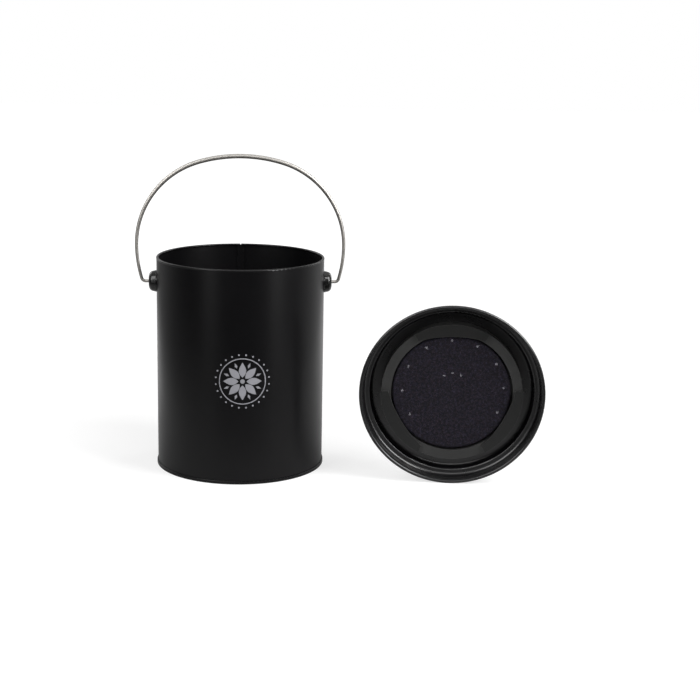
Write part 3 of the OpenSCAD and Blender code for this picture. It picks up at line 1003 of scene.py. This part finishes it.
def camera_matrix(place, yaw, pitch, roll):
    """Matrix of a camera at a place, turned to the right, tipped down and rolled."""
    flat = math.cos(pitch)
    forward = Vector((math.sin(yaw) * flat, math.cos(yaw) * flat, -math.sin(pitch)))
    level = Vector((math.cos(yaw), -math.sin(yaw), 0))
    above = level.cross(forward)
    right = level * math.cos(roll) + above * math.sin(roll)
    up = above * math.cos(roll) - level * math.sin(roll)
    turning = Matrix((right, up, -forward)).transposed()
    return Matrix.Translation(place) @ turning.to_4x4()


def soft_box(name, place, target, width, height, power):
    """Rectangular area lamp that faces a target."""
    light = bpy.data.lights.new(name, "AREA")
    light.shape = "RECTANGLE"
    light.size = width
    light.size_y = height
    light.energy = power
    lamp = bpy.data.objects.new(name, light)
    bpy.context.scene.collection.objects.link(lamp)
    lamp.location = place
    lamp.rotation_mode = "QUATERNION"
    lamp.rotation_quaternion = (Vector(target) - Vector(place)).to_track_quat("-Z", "Y")


def seen_rays(tree):
    """Two masks: one of camera rays, and one of glossy and transmission rays."""
    path = tree.nodes.new("ShaderNodeLightPath").outputs
    mirrored = calc(tree, "MAXIMUM", path["Is Glossy Ray"], path["Is Transmission Ray"])
    return path["Is Camera Ray"], mirrored


def floor_material():
    """White floor that keeps shadows, save for a painted glow that clears them to the left of the
    pail, and fades to the white of the backdrop.

    To mirrored rays it is darker in front and at both sides, as if black flags stood there.
    """
    material = bpy.data.materials.new("White floor")
    material.use_nodes = True
    tree = material.node_tree
    tree.nodes.remove(tree.nodes["Principled BSDF"])
    output = tree.nodes["Material Output"]
    diffuse = tree.nodes.new("ShaderNodeBsdfDiffuse")
    lift = tree.nodes.new("ShaderNodeEmission")
    both = tree.nodes.new("ShaderNodeAddShader")
    camera, mirrored = seen_rays(tree)
    position = tree.nodes.new("ShaderNodeNewGeometry").outputs["Position"]
    axes = split_xyz(tree, position)

    left_flag = remap(tree, axes["X"], -0.55, -0.30, 0.25, 1.0)
    right_flag = remap(tree, axes["X"], 0.40, 0.60, 1.0, 0.5)
    flags = calc(tree, "MULTIPLY", left_flag, right_flag)

    full = (0.42, 0.42, 0.42)
    front_flag = remap(tree, axes["Y"], -0.48, -0.10, 0.10, 0.9)
    mirror_level = calc(tree, "MULTIPLY", front_flag, flags)
    dimming = calc(tree, "SUBTRACT", mirror_level, 1.0)
    level = calc(tree, "MULTIPLY_ADD", mirrored, dimming, 1.0)
    tree.links.new(mix_colour(tree, level, (0.0, 0.0, 0.0), full), diffuse.inputs["Color"])

    faded = remap(tree, vector_math(tree, "LENGTH", position), 0.5, 2.0, 0.655, 1.0)
    # Painted light: extra glow on the floor to the left of the pail, which clears the pail's shadow
    # there.
    left_lift = remap(tree, axes["X"], -0.10, -0.26, 0.0, 0.115)
    strength = calc(tree, "ADD", faded, left_lift)
    behind = calc(tree, "MULTIPLY", remap(tree, axes["Y"], -0.3, 0.6), flags)
    seen = calc(tree, "MAXIMUM", camera, calc(tree, "MULTIPLY", mirrored, behind))
    tree.links.new(calc(tree, "MULTIPLY", seen, strength), lift.inputs["Strength"])

    tree.links.new(diffuse.outputs[0], both.inputs[0])
    tree.links.new(lift.outputs[0], both.inputs[1])
    tree.links.new(both.outputs[0], output.inputs["Surface"])
    return material


def light_world(ambient):
    """White to the camera, even light for matt surfaces, and a room that is darker in front."""
    world = bpy.data.worlds.new("Studio room")
    world.use_nodes = True
    tree = world.node_tree
    shade = tree.nodes["Background"]
    shade.inputs["Color"].default_value = (1, 1, 1, 1)
    camera, mirrored = seen_rays(tree)
    axes = split_xyz(tree, tree.nodes.new("ShaderNodeTexCoord").outputs["Generated"])
    walls = remap(tree, axes["Y"], -0.1, 1.0, 0.02, 0.6)
    ceiling = remap(tree, axes["Z"], 0.05, 0.75, 0.0, 0.42)
    room = calc(tree, "MAXIMUM", walls, ceiling)
    level = calc(tree, "MULTIPLY_ADD", mirrored, calc(tree, "SUBTRACT", room, ambient), ambient)
    level = calc(tree, "MULTIPLY_ADD", camera, calc(tree, "SUBTRACT", 1.0, level), level)
    tree.links.new(level, shade.inputs["Strength"])
    bpy.context.scene.world = world


# Each soft box: name, place, width, height, setting with its power, and share of that power.
SOFT_BOXES = (
    ("Key box", (1.42, -0.83, 1.19), 0.9, 1.3, "key", 1.0),
    ("Fill box", (-1.14, -0.94, 1.19), 0.9, 1.3, "fill", 1.0),
    ("Overhead box", (0.1, 0.3, 1.9), 1.6, 1.2, "overhead", 1.0),
    ("Front box", (0.15, -1.8, 1.15), 1.5, 0.5, "front", 1.0),
    ("Back strip right", (1.35, 1.25, 0.95), 0.35, 1.3, "back", 1.0),
    ("Back strip left", (-1.15, 1.35, 0.95), 0.35, 1.3, "back", 1.0),
    ("Right card", (1.30, -1.15, 0.35), 0.5, 0.9, "cards", 1.0),
    ("Left card", (-1.05, -1.25, 0.35), 0.5, 0.9, "cards", 0.6),
)


# ---- Operators ----


class PailOperator:
    """What every step shares."""

    bl_options = {"REGISTER", "UNDO"}


class PAIL_OT_studio(PailOperator, bpy.types.Operator):
    """Make the camera, floor, lamps and room"""

    bl_idname = "compost_pail.studio"
    bl_label = "Set Up Studio"

    def execute(self, context):
        scene = context.scene
        studio = scene.pail_studio
        data = bpy.data.cameras.new("Camera")
        data.lens = studio.lens
        data.sensor_width = 36
        camera = bpy.data.objects.new("Camera", data)
        camera.matrix_world = camera_matrix(
            studio.camera_place, studio.yaw, studio.pitch, studio.roll
        )
        scene.collection.objects.link(camera)
        scene.camera = camera

        reach = 6.0  # of the floor to both sides and to the back
        front = -0.62
        mesh = bpy.data.meshes.new("Floor")
        outline = [(-reach, front, 0), (reach, front, 0), (reach, reach, 0), (-reach, reach, 0)]
        mesh.from_pydata(outline, [], [(0, 1, 2, 3)])
        mesh.materials.append(floor_material())
        floor = bpy.data.objects.new("Floor", mesh)
        scene.collection.objects.link(floor)

        middle = (0.1, 0.0, 0.12)
        for name, place, width, height, setting, part in SOFT_BOXES:
            soft_box(name, place, middle, width, height, part * getattr(studio, setting))
        light_world(studio.ambient)
        scene.view_settings.view_transform = "Standard"
        return {"FINISHED"}


class PAIL_OT_coat(PailOperator, bpy.types.Operator):
    """Coat the pail and the lid"""

    bl_idname = "compost_pail.coat"
    bl_label = "Coat Pail and Lid"

    def execute(self, context):
        coat = context.scene.pail_coat
        pail_coat = powder_coat("Satin pail coat", coat.pail_roughness, specular=0.30)
        lid_coat = powder_coat("Satin lid coat", coat.lid_roughness, specular=0.8)
        dress(pail_coat, "pail_wall", "pail_base")
        dress(lid_coat, "lid_shell")
        return {"FINISHED"}


class PAIL_OT_mark(PailOperator, bpy.types.Operator):
    """Print the round mark on the front"""

    bl_idname = "compost_pail.mark"
    bl_label = "Print Mark"

    def execute(self, context):
        ink = printed_ink("Printed ink", context.scene.pail_print.ink)
        new_piece("printed_mark", build_mark, "pail", ink)
        return {"FINISHED"}


class PAIL_OT_ears(PailOperator, bpy.types.Operator):
    """Finish the two ears that carry the bail"""

    bl_idname = "compost_pail.ears"
    bl_label = "Finish Ears"

    def execute(self, context):
        gloss = gloss_plastic("Gloss black ear", (0.008, 0.008, 0.008), 0.16, flow_size=0.003)
        dress(gloss, "ear_left", "ear_right")
        return {"FINISHED"}


class PAIL_OT_bail(PailOperator, bpy.types.Operator):
    """Bend the plated wire bail"""

    bl_idname = "compost_pail.bail"
    bl_label = "Bend Bail"

    def execute(self, context):
        plated = drawn_wire("Nickel wire", context.scene.pail_bail.plating)
        bail = new_piece("wire_bail", build_bail, "bail", plated)
        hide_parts("bail")
        return {"FINISHED"}


class PAIL_OT_filter(PailOperator, bpy.types.Operator):
    """Fit the foam filter and finish its holder"""

    bl_idname = "compost_pail.filter"
    bl_label = "Fit Filter"

    def execute(self, context):
        foam = charcoal_foam("Charcoal foam")
        pad = new_piece("foam_filter", build_foam, "lid", foam, place=lid_place())
        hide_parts("charcoal_filter")
        lid = context.scene.pail_lid
        moulded = matt_moulding("Grey moulding", lid.moulding, lid.ring_face, lid_place())
        dress(moulded, "filter_holder")
        return {"FINISHED"}


class PAIL_OT_knob(PailOperator, bpy.types.Operator):
    """Finish the knob and its screw, washer and insert"""

    bl_idname = "compost_pail.knob"
    bl_label = "Finish Knob"

    def execute(self, context):
        gloss = gloss_plastic("Gloss black knob", (0.010, 0.010, 0.010), 0.20, flow_size=0.004)
        dress(gloss, "knob")
        dress(turned_metal("Brass insert", (0.72, 0.55, 0.25), 0.30), "knob_insert")
        zinc = turned_metal("Zinc hardware", (0.62, 0.63, 0.65), 0.34)
        dress(zinc, "knob_screw", "knob_washer")
        return {"FINISHED"}


class PAIL_PT_steps(bpy.types.Panel):
    """Steps that dress the pail, in order"""

    bl_label = "Compost Pail"
    bl_idname = "PAIL_PT_steps"
    bl_space_type = "VIEW_3D"
    bl_region_type = "UI"
    bl_category = "Compost Pail"

    def draw(self, context):
        for step in STEPS:
            self.layout.operator(step.bl_idname, text=step.bl_label)
        for group in GROUPS:
            box = self.layout.box()
            settings = getattr(context.scene, group)
            for name in settings.bl_rna.properties.keys():
                if name not in ("rna_type", "name"):
                    box.prop(settings, name)


STEPS = (
    PAIL_OT_studio,
    PAIL_OT_coat,
    PAIL_OT_mark,
    PAIL_OT_ears,
    PAIL_OT_bail,
    PAIL_OT_filter,
    PAIL_OT_knob,
)
GROUPS = {
    "pail_coat": CoatSettings,
    "pail_print": PrintSettings,
    "pail_bail": BailSettings,
    "pail_lid": LidSettings,
    "pail_studio": StudioSettings,
}


def register():
    for group in GROUPS.values():
        bpy.utils.register_class(group)
    for name, group in GROUPS.items():
        setattr(bpy.types.Scene, name, PointerProperty(type=group))
    for step in STEPS:
        bpy.utils.register_class(step)
    bpy.utils.register_class(PAIL_PT_steps)


def unregister():
    bpy.utils.unregister_class(PAIL_PT_steps)
    for step in reversed(STEPS):
        bpy.utils.unregister_class(step)
    for name, group in GROUPS.items():
        delattr(bpy.types.Scene, name)
        bpy.utils.unregister_class(group)


def main():
    """Register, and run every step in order."""
    register()
    for step in STEPS:
        area, action = step.bl_idname.split(".")
        getattr(getattr(bpy.ops, area), action)()


if __name__ == "__main__":
    main()
